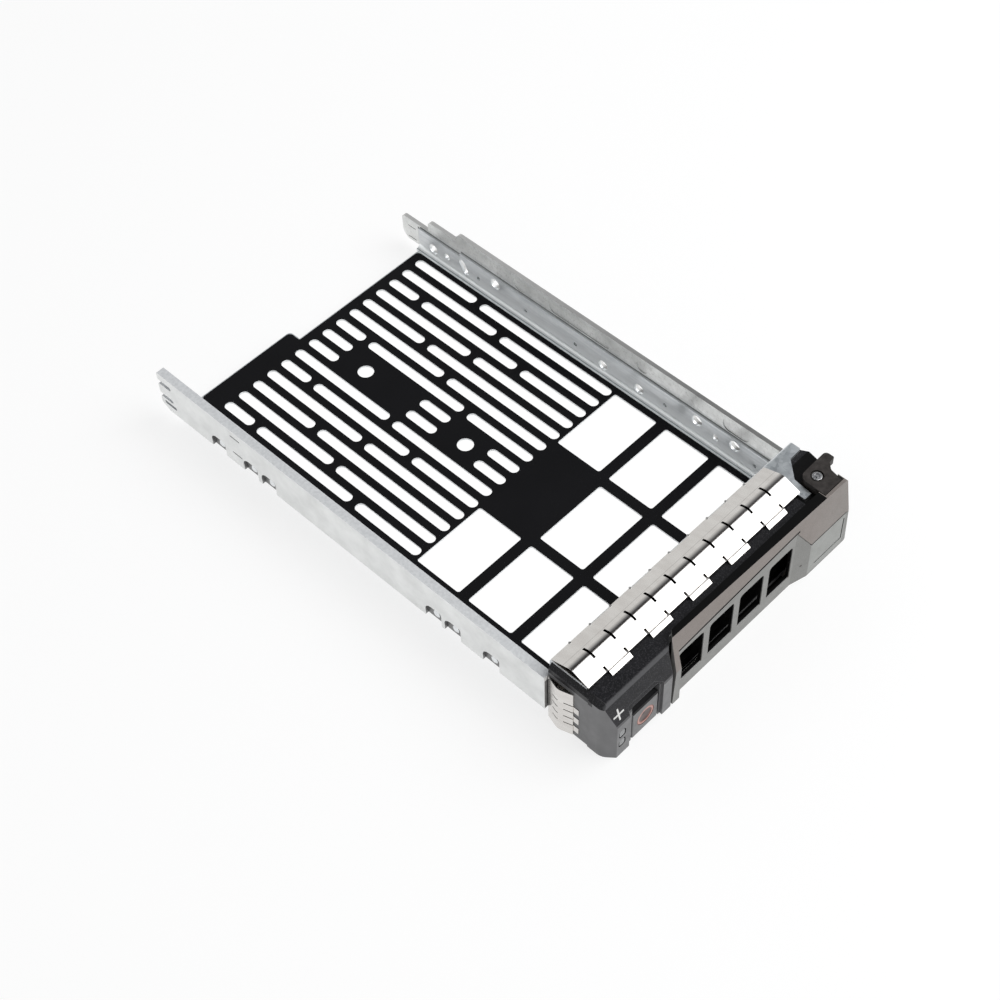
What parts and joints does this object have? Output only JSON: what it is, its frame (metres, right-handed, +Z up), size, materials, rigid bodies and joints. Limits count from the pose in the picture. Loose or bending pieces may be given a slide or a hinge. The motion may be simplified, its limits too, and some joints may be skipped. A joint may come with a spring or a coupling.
{
  "type": "hot swap drive caddy",
  "caption": "Hot swap drive caddy for a 3.5 inch disk: slotted steel tray with film, cast side rails, sprung EMI strips, black bezel with button and hinged lever",
  "frame": {"origin": "On the film face that the drive rests on, on the bay's centre line, 54 mm behind the front frame's rear face", "axes": "+Z up out of the drive's seat, +Y to the rear of the server along the rails, +X to the right seen from the front"},
  "size_m": [0.1102, 0.1889, 0.0291],
  "materials": {
    "galvanised": "bright galvanised sheet with soft spangle",
    "black_film": "thin black polyester sheet, fine matt grain",
    "cast_rail": "light grey zinc casting, dull and slightly mottled",
    "clear_plastic": "clear moulded light pipe",
    "bright_steel": "bright plated steel",
    "black_plastic": "black moulded plastic, fine spark-eroded grain",
    "spring_steel": "thin bright spring steel",
    "lever_plastic": "warm grey metallic paint on plastic",
    "dark_metal": "dark gunmetal coated casting",
    "button_plastic": "dark grey moulded plastic",
    "orange_plastic": "orange-red translucent ring"
  },
  "bodies": {
    "tray": {"base_pan": "galvanised", "insulating_sheet": "black_film", "left_rail": "cast_rail", "right_rail": "cast_rail", "upper_light_pipe": "clear_plastic", "lower_light_pipe": "clear_plastic", "left_rail_rivets": "bright_steel", "right_rail_rivets": "bright_steel", "front_frame": "galvanised", "bezel_body": "black_plastic", "bezel_screws": "bright_steel", "top_emi_strip": "spring_steel", "side_emi_strip": "spring_steel", "hinge_pin": "bright_steel", "lever_spring": "spring_steel", "button_spring": "spring_steel"},
    "lever": {"lever_cover": "lever_plastic", "lever_core": "dark_metal", "lever_screws": "bright_steel", "lever_catch": "spring_steel"},
    "button": {"release_button": "button_plastic", "button_ring": "orange_plastic", "button_clip": "spring_steel"}
  },
  "joints": [
    {"name": "lever_swing", "type": "hinge", "parent": "tray", "child": "lever", "pos_m": [0.0466, -0.0689, 0.01], "axis": [0, 0, 1], "range_deg": [0, 50]},
    {"name": "button_press", "type": "slide", "parent": "tray", "child": "button", "axis": [0, 1, 0], "range_m": [0, 0.002], "stiffness_N_per_m": 300, "springref_m": -0.001, "deforming": ["button_spring"]}
  ]
}
